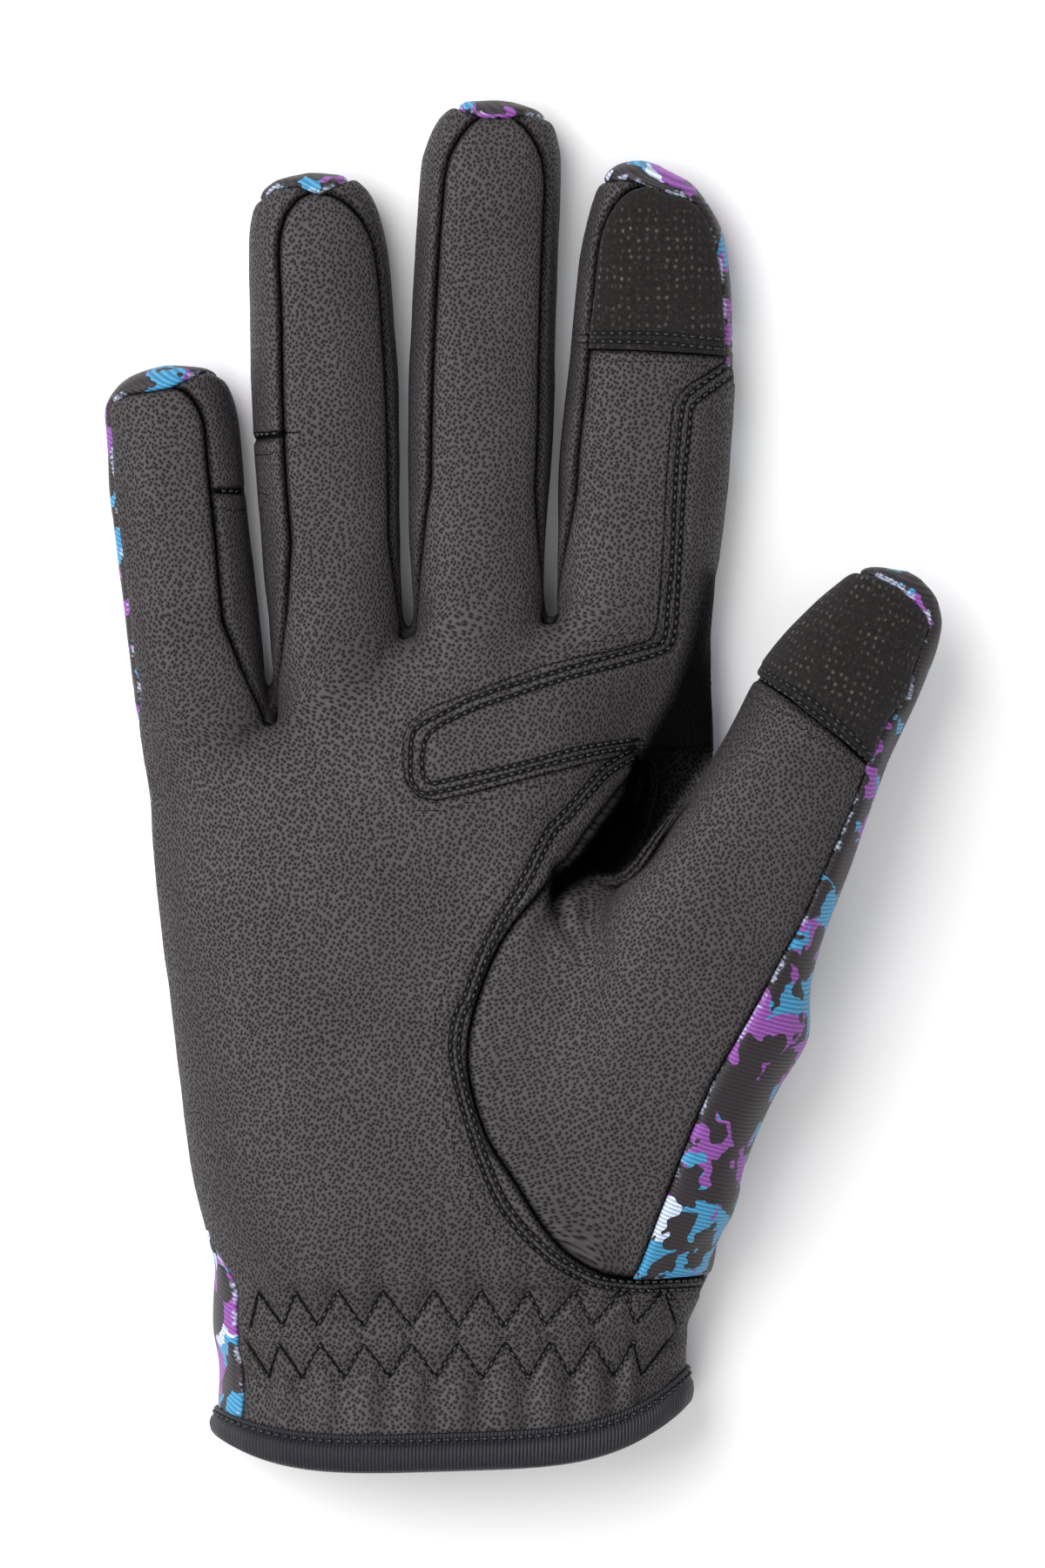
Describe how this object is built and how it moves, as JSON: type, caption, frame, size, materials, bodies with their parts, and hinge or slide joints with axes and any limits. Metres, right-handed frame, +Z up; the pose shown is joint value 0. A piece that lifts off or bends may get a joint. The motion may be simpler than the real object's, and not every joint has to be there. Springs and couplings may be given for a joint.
{
  "type": "horse riding glove",
  "caption": "Right-hand riding glove, palm up, with dark leather palm, grip patches on index and thumb, and a mottled printed back.",
  "frame": {"origin": "on the table under the middle of the glove's bounding box", "axes": "+X to the thumb side, +Y to the fingertips, +Z up through the palm"},
  "size_m": [0.1386, 0.2268, 0.031],
  "materials": {
    "palm_leather": "pebbled, soft sheen",
    "grip_suede": "matt with small raised dots",
    "printed_twill": "woven, mottled print",
    "knit_binding": "fine ribbed, soft sheen"
  },
  "bodies": {
    "root": {"palm_panel": "palm_leather", "thumb_panel": "palm_leather", "back_panel": "printed_twill", "index_tip_patch": "grip_suede", "thumb_tip_patch": "grip_suede", "fourchette_little_ring": "palm_leather", "fourchette_little_tip": "palm_leather", "fourchette_ring_tip": "palm_leather", "fourchette_ring_middle": "palm_leather", "fourchette_middle_index": "palm_leather", "index_reinforcement": "palm_leather", "wrist_binding": "knit_binding"}
  },
  "joints": []
}
